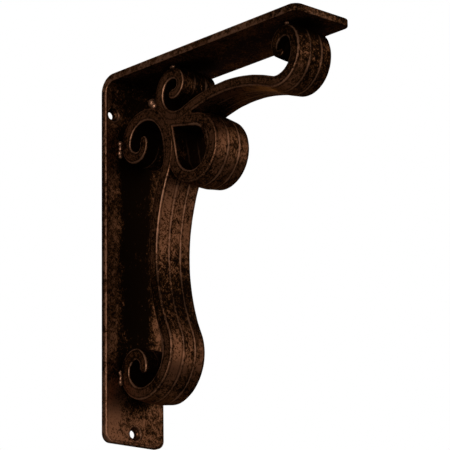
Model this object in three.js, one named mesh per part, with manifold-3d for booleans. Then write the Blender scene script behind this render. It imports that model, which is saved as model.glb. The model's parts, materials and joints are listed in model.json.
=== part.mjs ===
// Wrought iron shelf bracket: one flat bar bent to a right angle, two scrolls and a
// centre loop. The scrolls and the loop are of the same bevelled bar.
// Millimetres. X runs across the bracket, the wall is the plane Y = 0, the bracket
// projects towards -Y, and +Z is up. The origin is the middle of the wall face.

import * as THREE from 'three';
import { mergeVertices } from 'three/addons/utils/BufferGeometryUtils.js';
import Module from 'manifold-3d';

// The flat bar
const wallLegHeight = 254;
const shelfLegDepth = 190.5;
const flatBarWidth = 50.8;
const flatBarThickness = 5;
const bendRadius = 12;
const endCornerRadius = 6;

// The screw holes in the wall leg: two side by side at the top, one at the bottom
const screwHoleDiameter = 5.5;
const countersinkDiameter = 10;
const countersinkDepth = 2.6;
const topHolesSpacing = 37;
const topHolesBelowTop = 26.5;
const bottomHoleAboveEnd = 8;

// The bevelled bar: its side faces are lower than the band along its middle, which
// stands proud on both faces. Its tips are rounded off. The scrollwork sits a little
// off the middle of the flat bar.
const bevelledBarWidth = 30;
const lowerSideThickness = 8;
const upperSideThickness = 7.3;
const middleBandWidth = 10;
const middleBandRise = 1.3;
const scrollworkOffset = 1;
const tipShare = 0.85;
const tipTaperLength = 12;
const tipRounding = 2.4;

// The lower scroll, from its tip at the foot of the wall leg to its tip under the
// shelf. Its top curl stops short of the wall leg, and a weld fills that gap. Each bend
// is a radius and the degrees it turns, with a right turn negative.
const lowerScrollHeight = 199.5;
const lowerScrollBelowShelf = 23.7;
const lowerScrollTopGap = 2;
const lowerScrollTipHeading = 100;
const lowerScrollBends = [
  [9.5, -60], [8, -75], [12, -77], [18, -85], [27, -99],
  [130, 50],
  [32, -71], [21, -67], [17, -68], [10.5, -86], [7.5, -102],
];

// The upper scroll, from its tip in the corner to its tip at the front of the shelf
const upperScrollLength = 137.7;
const upperScrollTipHeading = 169;
const upperScrollBends = [
  [7, -77], [7.5, -77], [11.5, -72], [16, -62], [18, -82],
  [111, 43],
  [17, -75], [19.5, -64], [8, -72], [9.5, -62], [8.5, -62],
];

// How far apart the middles of the two scrolls' bars are where they meet
const seamSpacing = 6.2;

// The centre loop: a round lobe drawn out to a point in the corner of the scrolls
const loopInnerRadius = 15.4;
const loopThickness = 8.1;
const loopCornerDistance = 27.5;
const loopCentreFromSeam = 43.8;
const loopSlope = 44.4;

// Clearance between pieces that touch
const clearance = 0.3;

// How finely curves are drawn, in degrees and in segments
const degreesPerStep = 8;
const tipSteps = 4;
const bendSegments = 10;
const cornerSegments = 6;
const holeSegments = 28;
const loopSegments = 44;

// A cutter reaches this far past what it cuts
const cutterReach = 5;

const wallTop = wallLegHeight / 2;
const wallBottom = -wallLegHeight / 2;
const wallLegFront = -flatBarThickness;
const shelfUnderside = wallTop - flatBarThickness;

const towardsWall = { y: 1, z: 0 };
const towardsShelf = { y: 0, z: 1 };
const radians = THREE.MathUtils.degToRad;

const wasm = await Module();
wasm.setup();

// Joining and cutting

function toSolid(geometry) {
  const plain = geometry.clone();
  plain.deleteAttribute('normal');
  plain.deleteAttribute('uv');
  const merged = mergeVertices(plain);
  const corners = merged.index.array;
  const triangles = [];
  for (let i = 0; i < corners.length; i += 3) {
    const [a, b, c] = [corners[i], corners[i + 1], corners[i + 2]];
    if (a !== b && b !== c && c !== a) {
      triangles.push(a, b, c);
    }
  }
  return new wasm.Manifold(new wasm.Mesh({
    numProp: 3,
    vertProperties: new Float32Array(merged.attributes.position.array),
    triVerts: new Uint32Array(triangles),
  }));
}

function toGeometry(solid) {
  const mesh = solid.getMesh();
  const geometry = new THREE.BufferGeometry();
  geometry.setAttribute('position', new THREE.BufferAttribute(new Float32Array(mesh.vertProperties), 3));
  geometry.setIndex(new THREE.BufferAttribute(new Uint32Array(mesh.triVerts), 1));
  geometry.computeVertexNormals();
  return geometry;
}

// An outline drawn in (y, z) is thickened along X, evenly about the plane X = middle
function extrudeAcross(shape, middle, settings) {
  const geometry = new THREE.ExtrudeGeometry(shape, { bevelEnabled: false, ...settings });
  geometry.translate(0, 0, middle - settings.depth / 2);
  const turn = new THREE.Matrix4().makeBasis(
    new THREE.Vector3(0, 1, 0),
    new THREE.Vector3(0, 0, 1),
    new THREE.Vector3(1, 0, 0),
  );
  return geometry.applyMatrix4(turn);
}

// The flat bar

function flatBarOutline() {
  const centreY = -bendRadius;
  const centreZ = wallTop - bendRadius;
  const innerRadius = bendRadius - flatBarThickness;
  const shape = new THREE.Shape();
  shape.moveTo(0, wallBottom);
  shape.lineTo(0, centreZ);
  shape.absarc(centreY, centreZ, bendRadius, 0, Math.PI / 2, false);
  shape.lineTo(-shelfLegDepth, wallTop);
  shape.lineTo(-shelfLegDepth, shelfUnderside);
  shape.lineTo(centreY, shelfUnderside);
  shape.absarc(centreY, centreZ, innerRadius, Math.PI / 2, 0, true);
  shape.lineTo(wallLegFront, wallBottom);
  return shape;
}

// A strip as wide as the flat bar, from y = 0 to y = -length, where its corners are round
function roundEndedStrip(length) {
  const half = flatBarWidth / 2;
  const arcX = half - endCornerRadius;
  const arcY = endCornerRadius - length;
  const shape = new THREE.Shape();
  shape.moveTo(-half, 0);
  shape.lineTo(-half, arcY);
  shape.absarc(-arcX, arcY, endCornerRadius, Math.PI, 1.5 * Math.PI, false);
  shape.lineTo(arcX, -length);
  shape.absarc(arcX, arcY, endCornerRadius, -0.5 * Math.PI, 0, false);
  shape.lineTo(half, 0);
  return shape;
}

// The flat bar's outline seen from above: it rounds the front corners of the shelf leg
function outlineFromAbove() {
  const strip = new THREE.ExtrudeGeometry(roundEndedStrip(shelfLegDepth + cutterReach), {
    depth: wallLegHeight + 2 * cutterReach,
    bevelEnabled: false,
    curveSegments: cornerSegments,
  });
  strip.translate(0, cutterReach, wallBottom - cutterReach);
  return toSolid(strip);
}

// The flat bar's outline seen from the front: it rounds the lower corners of the wall leg
function outlineFromFront() {
  const strip = new THREE.ExtrudeGeometry(roundEndedStrip(wallLegHeight + cutterReach), {
    depth: shelfLegDepth + 2 * cutterReach,
    bevelEnabled: false,
    curveSegments: cornerSegments,
  });
  strip.rotateX(Math.PI / 2);
  strip.translate(0, cutterReach, wallTop + cutterReach);
  return toSolid(strip);
}

// A hole through the wall leg, countersunk from the front
function screwHole(x, z) {
  const slope = (countersinkDiameter - screwHoleDiameter) / 2 / countersinkDepth;
  const profile = [
    new THREE.Vector2(0, -cutterReach),
    new THREE.Vector2(screwHoleDiameter / 2, -cutterReach),
    new THREE.Vector2(screwHoleDiameter / 2, flatBarThickness - countersinkDepth),
    new THREE.Vector2(countersinkDiameter / 2 + slope * cutterReach, flatBarThickness + cutterReach),
    new THREE.Vector2(0, flatBarThickness + cutterReach),
  ];
  const hole = new THREE.LatheGeometry(profile, holeSegments);
  hole.rotateX(Math.PI);
  hole.translate(x, 0, z);
  return toSolid(hole);
}

function buildBackBar() {
  const bent = extrudeAcross(flatBarOutline(), 0, {
    depth: flatBarWidth,
    curveSegments: bendSegments,
  });
  const topHoleZ = wallTop - topHolesBelowTop;
  return toSolid(bent)
    .intersect(outlineFromAbove())
    .intersect(outlineFromFront())
    .subtract(screwHole(-topHolesSpacing / 2, topHoleZ))
    .subtract(screwHole(topHolesSpacing / 2, topHoleZ))
    .subtract(screwHole(0, wallBottom + bottomHoleAboveEnd));
}

// Bending a bar

// The middle line of a bar bent by bends, at the size that scale gives. It starts at
// (0, 0), and at(run) gives the point and the heading after that length of bar.
function bentLine(bends, tipHeading, scale) {
  const arcs = [];
  let y = 0;
  let z = 0;
  let heading = radians(tipHeading);
  let run = 0;
  for (const [radius, turn] of bends) {
    const arc = { y, z, heading, run, radius: radius * scale, turn: radians(turn) };
    arc.length = arc.radius * Math.abs(arc.turn);
    arc.steps = Math.ceil(Math.abs(turn) / degreesPerStep);
    arcs.push(arc);
    ({ y, z, heading } = alongArc(arc, arc.length));
    run += arc.length;
  }
  const at = (wanted) => {
    const arc = arcs.findLast((candidate) => candidate.run <= wanted) ?? arcs[0];
    return alongArc(arc, wanted - arc.run);
  };
  return { arcs, length: run, at };
}

function alongArc(arc, distance) {
  const turned = Math.sign(arc.turn) * distance / arc.radius;
  const chord = 2 * arc.radius * Math.sin(Math.abs(turned) / 2);
  const direction = arc.heading + turned / 2;
  return {
    y: arc.y + chord * Math.cos(direction),
    z: arc.z + chord * Math.sin(direction),
    heading: arc.heading + turned,
  };
}

// Half of a bar's side thickness at a distance from its nearer tip
function halfThickness(fromTip, sideThickness) {
  const taper = Math.min(1, fromTip / tipTaperLength);
  const half = THREE.MathUtils.lerp(sideThickness * tipShare, sideThickness, taper) / 2;
  if (fromTip >= tipRounding) {
    return half;
  }
  const inward = 1 - fromTip / tipRounding;
  return half * Math.sqrt(Math.max(0, 1 - inward * inward));
}

// The stations of a bent bar, closer together at its rounded tips
function stationsOf(line, sideThickness) {
  const runs = [];
  for (let step = 0; step <= tipSteps; step += 1) {
    const inward = tipRounding * (1 - Math.cos(Math.PI / 2 * step / tipSteps));
    runs.push(inward, line.length - inward);
  }
  for (const arc of line.arcs) {
    for (let step = 0; step < arc.steps; step += 1) {
      const run = arc.run + arc.length * step / arc.steps;
      if (run > tipRounding * 1.2 && run < line.length - tipRounding * 1.2) {
        runs.push(run);
      }
    }
  }
  runs.sort((a, b) => a - b);
  return runs.map((run) => {
    const half = halfThickness(Math.min(run, line.length - run), sideThickness);
    return { ...line.at(run), half };
  });
}

// Seating a bar

function turned(stations, angle) {
  const cos = Math.cos(angle);
  const sin = Math.sin(angle);
  return stations.map((s) => ({
    y: s.y * cos - s.z * sin,
    z: s.y * sin + s.z * cos,
    heading: s.heading + angle,
    half: s.half,
  }));
}

function moved(stations, y, z) {
  return stations.map((s) => ({ ...s, y: s.y + y, z: s.z + z }));
}

// The station that reaches furthest in a direction, and how far its edge reaches
function furthest(stations, direction) {
  let best = { reach: -Infinity };
  for (const station of stations) {
    const reach = station.y * direction.y + station.z * direction.z + station.half;
    if (reach > best.reach) {
      best = { reach, station };
    }
  }
  return best;
}

// Turns a bar until its first curl reaches further in a direction than its last, by lead
function levelled(stations, direction, lead) {
  const rounds = 6;
  const middle = Math.floor(stations.length / 2);
  let level = stations;
  for (let round = 0; round < rounds; round += 1) {
    const first = furthest(level.slice(0, middle), direction);
    const last = furthest(level.slice(middle), direction);
    const across = (first.station.z - last.station.z) * direction.y
      - (first.station.y - last.station.y) * direction.z;
    level = turned(level, Math.atan((first.reach - last.reach - lead) / across));
  }
  return level;
}

// A bar bent to a scroll of a wanted length, with both of its curls to one side
function scrollOf({ bends, tipHeading, thickness, direction, lead, lengthwise, length }) {
  const backwards = { y: -lengthwise.y, z: -lengthwise.z };
  const bentAt = (scale) =>
    levelled(stationsOf(bentLine(bends, tipHeading, scale), thickness), direction, lead);
  const rounds = 6;
  let scale = 1;
  let scroll = bentAt(scale);
  for (let round = 0; round < rounds; round += 1) {
    const reached = furthest(scroll, lengthwise).reach + furthest(scroll, backwards).reach;
    scale *= (length - thickness) / (reached - thickness);
    scroll = bentAt(scale);
  }
  return scroll;
}

// Where the middle lines of two bars come closest
function meeting(first, second) {
  let best = { distance: Infinity };
  for (const a of first) {
    for (const b of second) {
      const distance = Math.hypot(a.y - b.y, a.z - b.z);
      if (distance < best.distance) {
        best = { distance, y: (a.y + b.y) / 2, z: (a.z + b.z) / 2 };
      }
    }
  }
  return best;
}

// Slides a bar back towards the wall until it meets another, as far as spacing
function slidUpTo(stations, other, spacing) {
  const halvings = 12;
  const apart = furthest(other, { y: -1, z: 0 }).reach + furthest(stations, towardsWall).reach;
  let shift = -apart - spacing;
  let step = spacing;
  for (let halving = 0; halving < halvings; halving += 1) {
    while (meeting(moved(stations, shift + step, 0), other).distance > spacing) {
      shift += step;
    }
    step /= 2;
  }
  return moved(stations, shift, 0);
}

function placeLowerScroll() {
  const scroll = scrollOf({
    bends: lowerScrollBends,
    tipHeading: lowerScrollTipHeading,
    thickness: lowerSideThickness,
    direction: towardsWall,
    lead: lowerScrollTopGap,
    lengthwise: towardsShelf,
    length: lowerScrollHeight,
  });
  const y = wallLegFront - clearance - middleBandRise - furthest(scroll, towardsWall).reach;
  const z = shelfUnderside - lowerScrollBelowShelf - furthest(scroll, towardsShelf).reach;
  return moved(scroll, y, z);
}

function placeUpperScroll(lowerScroll) {
  const scroll = scrollOf({
    bends: upperScrollBends,
    tipHeading: upperScrollTipHeading,
    thickness: upperSideThickness,
    direction: towardsShelf,
    lead: 0,
    lengthwise: towardsWall,
    length: upperScrollLength,
  });
  const z = shelfUnderside - clearance - middleBandRise - furthest(scroll, towardsShelf).reach;
  return slidUpTo(moved(scroll, 0, z), lowerScroll, seamSpacing);
}

// Making the bevelled bars solid

// The side outline of a bent bar, with extra added all round
function barOutline(stations, extra = 0) {
  const edge = (side) => stations.map((s) => new THREE.Vector2(
    s.y - side * Math.sin(s.heading) * (s.half + extra),
    s.z + side * Math.cos(s.heading) * (s.half + extra),
  ));
  const left = edge(1);
  const right = edge(-1);
  if (extra === 0) {
    right.shift();
    right.pop();
  }
  return new THREE.Shape([...left, ...right.reverse()]);
}

// A side outline as bevelled bar. With overhang the bar is wider, for a cutter, and its
// bevels run on at the same slope.
function bevelled(shape, overhang = 0) {
  const bevelWidth = (bevelledBarWidth - middleBandWidth) / 2;
  const runOn = middleBandRise * overhang / bevelWidth;
  return toSolid(extrudeAcross(shape, scrollworkOffset, {
    depth: middleBandWidth,
    bevelEnabled: true,
    bevelThickness: bevelWidth + overhang,
    bevelSize: middleBandRise + runOn,
    bevelOffset: -runOn,
    bevelSegments: 1,
    curveSegments: loopSegments,
  }));
}

// Adds a circle drawn out to a point to a path, with the point up the slope
function drawTeardrop(path, centre, radius, pointDistance) {
  const slope = radians(loopSlope);
  const side = Math.acos(radius / pointDistance);
  path.moveTo(
    centre.y + pointDistance * Math.cos(slope),
    centre.z + pointDistance * Math.sin(slope),
  );
  path.lineTo(
    centre.y + radius * Math.cos(slope + side),
    centre.z + radius * Math.sin(slope + side),
  );
  path.absarc(centre.y, centre.z, radius, slope + side, slope - side + 2 * Math.PI, false);
  return path;
}

function loopOutline(seam) {
  const slope = radians(loopSlope);
  const centre = {
    y: seam.y - loopCentreFromSeam * Math.cos(slope),
    z: seam.z - loopCentreFromSeam * Math.sin(slope),
  };
  const outerRadius = loopInnerRadius + loopThickness;
  const outerDistance = loopCornerDistance * outerRadius / loopInnerRadius;
  const shape = drawTeardrop(new THREE.Shape(), centre, outerRadius, outerDistance);
  shape.holes.push(drawTeardrop(new THREE.Path(), centre, loopInnerRadius, loopCornerDistance));
  return shape;
}

const lowerStations = placeLowerScroll();
const upperStations = placeUpperScroll(lowerStations);
const seam = meeting(lowerStations, upperStations);

// The upper scroll is cut to lie against the lower one, and the loop against both
const lowerCutter = bevelled(barOutline(lowerStations, clearance), cutterReach);
const upperCutter = bevelled(barOutline(upperStations, clearance), cutterReach);
const lowerScroll = bevelled(barOutline(lowerStations));
const upperScroll = bevelled(barOutline(upperStations)).subtract(lowerCutter);
const centreLoop = bevelled(loopOutline(seam)).subtract(lowerCutter).subtract(upperCutter);

const bracket = new THREE.Group();

function addPiece(name, solid, finish) {
  const piece = new THREE.Mesh(toGeometry(solid), new THREE.MeshStandardMaterial(finish));
  piece.name = name;
  bracket.add(piece);
}

const flatBarIron = { color: 0x4a3226, roughness: 0.5, metalness: 0.8 };
const scrollIron = { color: 0x5a3f2e, roughness: 0.45, metalness: 0.8 };

addPiece('back_bar', buildBackBar(), flatBarIron);
addPiece('lower_scroll', lowerScroll, scrollIron);
addPiece('upper_scroll', upperScroll, scrollIron);
addPiece('centre_loop', centreLoop, scrollIron);

export default bracket;
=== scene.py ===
import json
import math

import bmesh
import bpy
import numpy as np
from mathutils import Matrix, Vector
from mathutils.bvhtree import BVHTree

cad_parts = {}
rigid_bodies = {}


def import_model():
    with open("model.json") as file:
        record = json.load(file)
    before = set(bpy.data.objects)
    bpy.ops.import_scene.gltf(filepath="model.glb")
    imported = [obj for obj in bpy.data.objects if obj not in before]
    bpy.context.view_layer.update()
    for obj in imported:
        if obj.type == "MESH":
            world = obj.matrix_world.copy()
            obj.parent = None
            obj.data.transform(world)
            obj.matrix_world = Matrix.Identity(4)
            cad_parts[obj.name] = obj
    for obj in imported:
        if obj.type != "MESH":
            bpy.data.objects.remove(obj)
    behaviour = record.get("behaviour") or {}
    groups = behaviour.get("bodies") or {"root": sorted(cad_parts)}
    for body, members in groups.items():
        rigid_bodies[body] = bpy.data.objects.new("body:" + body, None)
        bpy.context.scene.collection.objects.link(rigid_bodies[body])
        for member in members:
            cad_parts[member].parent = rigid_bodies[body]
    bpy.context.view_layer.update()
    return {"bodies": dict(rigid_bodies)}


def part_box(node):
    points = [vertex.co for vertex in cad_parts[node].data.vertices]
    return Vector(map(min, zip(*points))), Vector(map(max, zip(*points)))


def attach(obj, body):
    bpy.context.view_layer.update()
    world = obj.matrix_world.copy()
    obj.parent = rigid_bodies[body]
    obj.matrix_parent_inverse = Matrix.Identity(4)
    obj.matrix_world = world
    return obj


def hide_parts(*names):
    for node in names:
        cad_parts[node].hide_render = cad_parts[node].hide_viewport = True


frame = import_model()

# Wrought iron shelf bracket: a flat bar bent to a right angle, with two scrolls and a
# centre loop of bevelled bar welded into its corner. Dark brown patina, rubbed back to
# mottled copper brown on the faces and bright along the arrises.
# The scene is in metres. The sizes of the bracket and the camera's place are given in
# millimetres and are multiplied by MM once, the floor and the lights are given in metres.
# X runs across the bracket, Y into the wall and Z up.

MM = 0.001

# The flat bar and its screw holes
FLAT_THICKNESS = 5.0
FLAT_BEND_RADIUS = 12.0
FLAT_CORNER_RADIUS = 6.0
HOLE_DIAMETER = 5.5
COUNTERSINK_DIAMETER = 10.0
COUNTERSINK_DEPTH = 2.6
TOP_HOLES_SPACING = 37.0
TOP_HOLES_BELOW_TOP = 26.5
BOTTOM_HOLE_ABOVE_END = 8.0
FLAT_ARRIS = 0.7
HOLE_ARRIS = 0.3
FLAT_GRID = 1.6

# The bevelled bar: a band along the middle of both faces stands proud of its sides
BAND_WIDTH = 10.0
BAND_RISE = 1.3
LOWER_THICKNESS = 8.0
UPPER_THICKNESS = 7.3
SIDE_ARRIS = 0.7
BAND_ARRIS = 0.6
TIP_LENGTH = 9.0
TIP_TAPER = 22.0
TIP_ROUNDING = 2.4
TIP_RINGS = 5
RING_SPACING = 0.9
CROSS_SPACING = 1.3
FORGING_SIZE = 9.0
FORGING_DEPTH = 0.22

# How the scrolls are bent: each bend is a radius and the degrees it turns, and a right
# turn is negative. A turn of nothing is a straight run of that length.
LOWER_TIP_HEADING = 101.85
LOWER_BENDS = [
    (9.5, -60), (8, -75), (12, -77), (18, -85), (27, -99),
    (130, 50),
    (32, -71), (21, -67), (17, -68), (10.5, -86), (7.5, -102),
]
UPPER_TIP_HEADING = 169.0
UPPER_BENDS = [
    (7, -77), (7.5, -77), (11.5, -72), (16, -62), (18, -82),
    (111, 43),
    (17, -75), (19.5, -64), (8, -72), (9.5, -62), (8.5, -38),
]

# The tips are turned in by a tighter hook, and drawn down to a share of the thickness
LOWER_START_HOOK = [(5.2, -25)]
LOWER_END_HOOK = [(4.8, -50)]
UPPER_START_HOOK = [(5.2, -55)]
UPPER_END_HOOK = [(3.6, -140)]
LOWER_TIP_SHARES = (0.8, 0.8)
UPPER_TIP_SHARES = (0.85, 0.6)

# The centre loop
LOOP_THICKNESS = 8.1
LOOP_INNER_RADIUS = 15.4
LOOP_CORNER_DISTANCE = 27.5
LOOP_SLOPE = 44.4

# Where bending has upset a bar it is thicker on the inside of the bend. Each swelling is a
# share of the bar's run, the length it spreads over and its height.
LOWER_SWELLINGS = [(0.30, 13.0, 1.4), (0.715, 9.0, 1.3)]
LOOP_SWELL_HEADING = 256.0
LOOP_SWELL_LENGTH = 16.0
LOOP_SWELL = 3.0

# The fit of one bar cut to lie against another
FIT = 0.05
CUTTER_REACH = 5.0

# A pick by place in edit mode counts what is this near
NEAR = 0.004 * MM


# Working on a mesh as by hand

def deselect_everything():
    bpy.ops.object.select_all(action="DESELECT")


def take_up(piece):
    """Makes a piece the only one selected, and active."""
    deselect_everything()
    piece.select_set(True)
    bpy.context.view_layer.objects.active = piece


def set_mode(mode):
    bpy.ops.object.mode_set(mode=mode)


def settle_placing():
    """Works the selected piece's own placing into its mesh."""
    bpy.ops.object.transform_apply(location=True, rotation=True, scale=True)


def new_block(name, low, high):
    """Adds a block between two corners, given in millimetres, and leaves it in edit mode."""
    deselect_everything()
    low = Vector(low) * MM
    high = Vector(high) * MM
    bpy.ops.mesh.primitive_cube_add(size=1.0, location=(low + high) / 2)
    piece = bpy.context.object
    piece.name = name
    piece.scale = high - low
    settle_placing()
    set_mode("EDIT")
    return piece


def pick(kind, wanted):
    """Selects the corners, edges or faces that wanted answers yes to, and nothing else."""
    bpy.ops.mesh.select_mode(type=kind)
    bpy.ops.mesh.select_all(action="DESELECT")
    mesh = bmesh.from_edit_mesh(bpy.context.object.data)
    elements = {"VERT": mesh.verts, "EDGE": mesh.edges, "FACE": mesh.faces}[kind]
    for element in elements:
        if wanted(element):
            element.select_set(True)
    mesh.select_flush_mode()
    bmesh.update_edit_mesh(bpy.context.object.data)


def cut(place, normal, clear=False):
    """Cuts the whole mesh by a plane. With clear, what is on the normal's side goes."""
    bpy.ops.mesh.select_all(action="SELECT")
    bpy.ops.mesh.bisect(
        plane_co=Vector(place) * MM, plane_no=normal, clear_outer=clear,
        use_fill=False, threshold=1e-7,
    )


def cuts_between(low, high, spacing):
    """Places that part a stretch evenly, no further apart than spacing."""
    count = max(1, math.ceil((high - low) / spacing))
    return [low + (high - low) * step / count for step in range(1, count)]


def runs_lengthwise(edge):
    along = edge.verts[1].co - edge.verts[0].co
    return abs(along.x) > 0.99 * along.length


def apply_modifier(piece, kind, **settings):
    """Adds a modifier, sets it and applies it."""
    take_up(piece)
    modifier = piece.modifiers.new(kind.title(), kind)
    for key, value in settings.items():
        setattr(modifier, key, value)
    bpy.ops.object.modifier_apply(modifier=modifier.name)


def discard(*objects):
    for unwanted in objects:
        bpy.data.objects.remove(unwanted, do_unlink=True)


# Bending a bar

def bend_line(bends, heading, start=(0.0, 0.0)):
    """The middle line of a bent bar, as rows of y, z, heading and run in millimetres."""
    degrees_per_point = 1.0
    straight_step = 1.0
    y, z = start
    heading = math.radians(heading)
    run = 0.0
    rows = [(y, z, heading, run)]
    for radius, turn in bends:
        if turn == 0:
            count = math.ceil(radius / straight_step)
            step = radius / count
            bend = 0.0
        else:
            count = math.ceil(abs(turn) / degrees_per_point)
            bend = math.radians(turn) / count
            step = radius * abs(bend)
        chord = step if bend == 0 else 2 * radius * math.sin(abs(bend) / 2)
        for _ in range(count):
            y += chord * math.cos(heading + bend / 2)
            z += chord * math.sin(heading + bend / 2)
            heading += bend
            run += step
            rows.append((y, z, heading, run))
    return np.array(rows)


def fitted_line(bends, heading, node, thickness, axis, start_hook, end_hook):
    """A scroll's middle line, sized and placed so that the bar fills its node's box. The
    hooks at its tips come on top of that."""
    low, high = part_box(node)
    edge = thickness / 2 + BAND_RISE
    want_low = np.array(low[1:]) / MM + edge
    want_high = np.array(high[1:]) / MM - edge
    drawn = bend_line(bends, heading)[:, :2]
    scale = (want_high - want_low)[axis] / np.ptp(drawn, axis=0)[axis]
    scaled = [(radius * scale, turn) for radius, turn in bends]
    body = bend_line(scaled, heading)[:, :2]
    body += want_high - body.max(axis=0)
    turned = sum(turn for _, turn in start_hook)
    line = bend_line([*start_hook, *scaled, *end_hook], heading - turned)
    join = len(bend_line(start_hook, 0.0)) - 1
    line[:, :2] += body[0] - line[join, :2]
    return line


def bend_along(piece, line):
    """Bends a straight piece, which lies along X from 0, to a line in the plane of Y and Z."""
    curve = bpy.data.curves.new("bend", "CURVE")
    curve.dimensions = "2D"
    spline = curve.splines.new("POLY")
    spline.points.add(len(line) - 1)
    for point, (y, z, _, _) in zip(spline.points, line):
        point.co = (y * MM, z * MM, 0.0, 1.0)
    guide = bpy.data.objects.new("bend", curve)
    bpy.context.scene.collection.objects.link(guide)
    apply_modifier(piece, "CURVE", object=guide, deform_axis="POS_X")
    discard(guide)
    # The bench lies flat: its X, Y and Z become the bracket's Y, Z and X
    piece.matrix_world = Matrix(((0, 0, 1, 0), (1, 0, 0, 0), (0, 1, 0, 0), (0, 0, 0, 1)))
    settle_placing()


# The bevelled bar, straight on the bench

def bevelled_bar(name, start, end, thickness, width, tip_shares=None, extra=0.0, overhang=0.0):
    """A straight bevelled bar along X, with its thickness along Y and its width along Z.
    With tip shares its ends are drawn down and rounded. A cutter is thicker by extra on both
    faces and wider by overhang on both sides, on the same slopes."""
    slope = BAND_RISE / ((width - BAND_WIDTH) / 2)
    half_width = width / 2 + overhang
    half_side = thickness / 2 + extra - slope * overhang
    half_band = thickness / 2 + extra + BAND_RISE
    low = (start, -half_side, -half_width)
    high = (end, half_side, half_width)
    piece = new_block(name, low, high)
    for z in (-BAND_WIDTH / 2, BAND_WIDTH / 2):
        cut((0, 0, z), (0, 0, 1))
    pick("VERT", lambda v: abs(v.co.z) < BAND_WIDTH / 2 * MM + NEAR)
    bpy.ops.transform.resize(value=(1, half_band / half_side, 1))
    pick("EDGE", lambda e: runs_lengthwise(e) and abs(e.verts[0].co.z) > half_width * MM - NEAR)
    bpy.ops.mesh.bevel(offset=SIDE_ARRIS * MM, segments=3, affect="EDGES")
    pick("EDGE", lambda e: runs_lengthwise(e)
         and abs(abs(e.verts[0].co.z) - BAND_WIDTH / 2 * MM) < NEAR)
    bpy.ops.mesh.bevel(offset=BAND_ARRIS * MM, segments=2, affect="EDGES")
    facet = half_width - SIDE_ARRIS, BAND_WIDTH / 2 + BAND_ARRIS
    for z in cuts_between(facet[1], facet[0], CROSS_SPACING):
        cut((0, 0, z), (0, 0, 1))
        cut((0, 0, -z), (0, 0, 1))
    band_edge = BAND_WIDTH / 2 - BAND_ARRIS
    for z in cuts_between(-band_edge, band_edge, CROSS_SPACING):
        cut((0, 0, z), (0, 0, 1))
    side_edge = half_side - SIDE_ARRIS
    for y in cuts_between(-side_edge, side_edge, CROSS_SPACING):
        cut((0, y, 0), (0, 1, 0))
    if tip_shares:
        draw_down_tips(start, end, tip_shares)
    refine_lengthwise()
    set_mode("OBJECT")
    return piece


def draw_down_tips(start, end, shares):
    """Thins the last stretch of both ends to its share and rounds their edges over."""
    least_inset = 0.02 * TIP_ROUNDING
    rounding = [TIP_ROUNDING * (1 - math.cos(math.pi / 2 * ring / TIP_RINGS))
                for ring in range(1, TIP_RINGS + 1)]
    insets = [0.0, *rounding, TIP_LENGTH, TIP_TAPER]
    rings = [(tip + inward * inset, inset, share)
             for tip, inward, share in ((start, 1, shares[0]), (end, -1, shares[1]))
             for inset in insets]
    for x, inset, _ in rings:
        if inset > 0:
            cut((x, 0, 0), (1, 0, 0))
    for x, inset, share in rings:
        thin = share + (1 - share) * max(0.0, inset - TIP_LENGTH) / (TIP_TAPER - TIP_LENGTH)
        if inset < TIP_ROUNDING:
            lead = 1 - max(inset, least_inset) / TIP_ROUNDING
            thin *= math.sqrt(1 - lead * lead)
        pick("VERT", lambda v: abs(v.co.x - x * MM) < NEAR)
        bpy.ops.transform.resize(value=(1, thin, 1), center_override=(x * MM, 0, 0))


def refine_lengthwise():
    """Parts the long faces of a straight bar into short ones."""
    most_cuts = 40
    slack = 0.001
    long_share = 0.6
    while True:
        mesh = bmesh.from_edit_mesh(bpy.context.object.data)
        longest = max(e.calc_length() for e in mesh.edges if runs_lengthwise(e))
        parts = math.ceil(longest / (RING_SPACING * MM) - slack)
        if parts < 2:
            return
        pick("EDGE", lambda e: runs_lengthwise(e) and e.calc_length() > long_share * longest)
        bpy.ops.mesh.subdivide(number_cuts=min(parts - 1, most_cuts))


def make_uneven(piece):
    """Gives a bar the slight unevenness of forging."""
    clouds = bpy.data.textures.new("forging", "CLOUDS")
    clouds.noise_scale = FORGING_SIZE * MM
    clouds.noise_depth = 1
    apply_modifier(piece, "DISPLACE", texture=clouds, texture_coords="LOCAL",
                   strength=FORGING_DEPTH * MM, mid_level=0.5)


def carve(piece, cutter):
    apply_modifier(piece, "BOOLEAN", object=cutter, operation="DIFFERENCE", solver="MANIFOLD")


# The scrolls and the loop

scroll_low, scroll_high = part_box("lower_scroll")
SCROLL_WIDTH = (scroll_high.x - scroll_low.x) / MM
SCROLL_OFFSET = (scroll_high.x + scroll_low.x) / 2 / MM


def shift_across(piece):
    """Puts the scrollwork where it is across the flat bar, a little off the middle."""
    piece.data.transform(Matrix.Translation((SCROLL_OFFSET * MM, 0, 0)))


def swell(piece, run, length, height, side, thickness):
    """Thickens a straight bar about a place along its run, on the side given as 1 or -1."""
    for vertex in piece.data.vertices:
        out = min(1.0, max(0.0, side * vertex.co.y / (thickness / 2 * MM)))
        away = (vertex.co.x / MM - run) / length
        vertex.co.y += side * height * math.exp(-away * away) * out * MM


def make_scroll(name, line, thickness, tip_shares, swellings=()):
    piece = bevelled_bar(name, 0.0, line[-1, 3], thickness, SCROLL_WIDTH, tip_shares)
    for share, length, height in swellings:
        swell(piece, share * line[-1, 3], length, height, -1, thickness)
    bend_along(piece, line)
    shift_across(piece)
    make_uneven(piece)
    return piece


def make_scroll_cutter(line, thickness):
    cutter = bevelled_bar("cutter", TIP_TAPER, line[-1, 3] - TIP_TAPER, thickness, SCROLL_WIDTH,
                          extra=FIT, overhang=CUTTER_REACH)
    bend_along(cutter, line)
    shift_across(cutter)
    return cutter


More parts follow.
